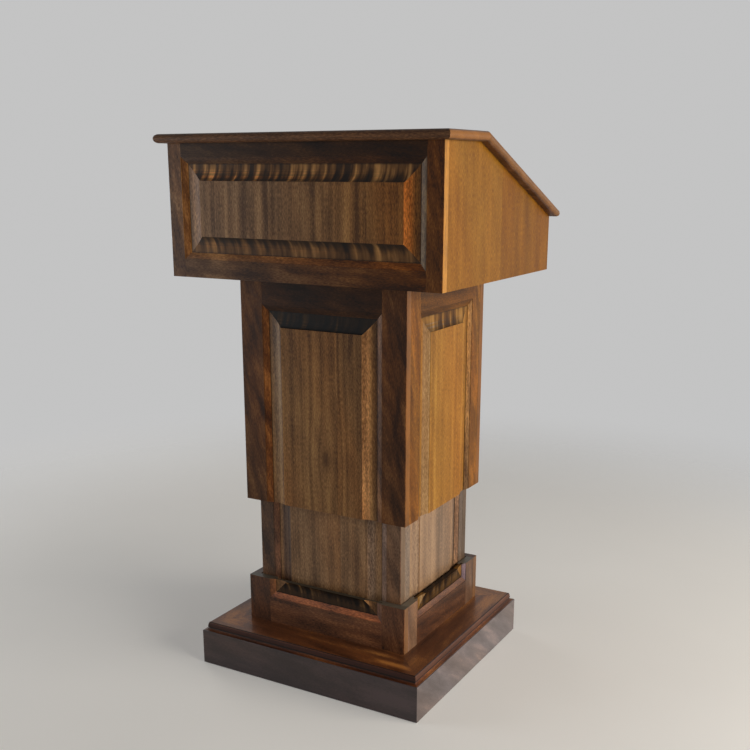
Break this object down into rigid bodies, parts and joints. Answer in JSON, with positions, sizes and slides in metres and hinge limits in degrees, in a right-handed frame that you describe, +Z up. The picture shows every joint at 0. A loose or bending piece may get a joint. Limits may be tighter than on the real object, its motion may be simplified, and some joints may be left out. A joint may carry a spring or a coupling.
{
  "type": "height-adjustable lectern",
  "caption": "Walnut lectern with a raised-panel head and sloped reading board on a panelled column that telescopes over a fixed inner column and moulded base.",
  "frame": {"origin": "on the floor, under the middle of the plan of the top boards", "axes": "+Z up; -Y is the audience side with the wide raised panel; +Y is the speaker's side, towards which the reading board slopes down; +X is right as seen from the audience side turned to face the front, the side shown in the picture"},
  "size_m": [0.7016, 0.5922, 1.224],
  "materials": {
    "walnut_frame": "satin lacquered walnut",
    "walnut_panel": "satin lacquered walnut",
    "walnut_board": "satin lacquered walnut",
    "plywood": "bare birch plywood",
    "black_steel": "black powder coat",
    "nylon": "matt white nylon",
    "black_plastic": "matt black moulded"
  },
  "bodies": {
    "base": {"inner_front_stiles": "walnut_frame", "inner_front_panel": "walnut_panel", "inner_rear_stiles": "walnut_frame", "inner_rear_panel": "walnut_panel", "inner_left_stiles": "walnut_frame", "inner_left_panel": "walnut_panel", "inner_right_stiles": "walnut_frame", "inner_right_panel": "walnut_panel", "collar_front_stiles": "walnut_frame", "collar_front_rail": "walnut_frame", "collar_front_panel": "walnut_panel", "collar_rear_stiles": "walnut_frame", "collar_rear_rail": "walnut_frame", "collar_rear_panel": "walnut_panel", "collar_left_stiles": "walnut_frame", "collar_left_rail": "walnut_frame", "collar_left_panel": "walnut_panel", "collar_right_stiles": "walnut_frame", "collar_right_rail": "walnut_frame", "collar_right_panel": "walnut_panel", "base_top_front": "walnut_board", "base_top_rear": "walnut_board", "base_top_left": "walnut_board", "base_top_right": "walnut_board", "skirt_front": "walnut_frame", "skirt_rear": "walnut_frame", "skirt_left": "walnut_frame", "skirt_right": "walnut_frame", "base_deck": "plywood", "corner_blocks": "plywood", "glides": "nylon", "column_guides": "nylon", "lift_outer": "black_steel"},
    "head": {"head_front_stiles": "walnut_frame", "head_top_rail": "walnut_frame", "head_bottom_rail": "walnut_frame", "head_front_panel": "walnut_panel", "head_side_left": "walnut_board", "head_side_right": "walnut_board", "head_floor": "walnut_board", "desk_top": "walnut_board", "reading_board": "walnut_board", "book_stop": "walnut_frame", "sleeve_front_stiles": "walnut_frame", "sleeve_front_rail": "walnut_frame", "sleeve_front_panel": "walnut_panel", "sleeve_rear_stiles": "walnut_frame", "sleeve_rear_rail": "walnut_frame", "sleeve_rear_panel": "walnut_panel", "sleeve_left_stiles": "walnut_frame", "sleeve_left_rail": "walnut_frame", "sleeve_left_panel": "walnut_panel", "sleeve_right_stiles": "walnut_frame", "sleeve_right_rail": "walnut_frame", "sleeve_right_panel": "walnut_panel", "lift_inner": "black_steel", "lever_bracket": "black_steel"},
    "lever": {"release_lever": "black_steel", "lever_grip": "black_plastic"}
  },
  "joints": [
    {"name": "lift", "type": "slide", "parent": "base", "child": "head", "axis": [0, 0, 1], "range_m": [-0.192, 0.011]},
    {"name": "lever_pivot", "type": "hinge", "parent": "head", "child": "lever", "pos_m": [0, 0.14466, 0.902], "axis": [1, 0, 0], "range_deg": [0, 6], "stiffness_Nm_per_rad": 3, "springref_deg": -2.86}
  ]
}
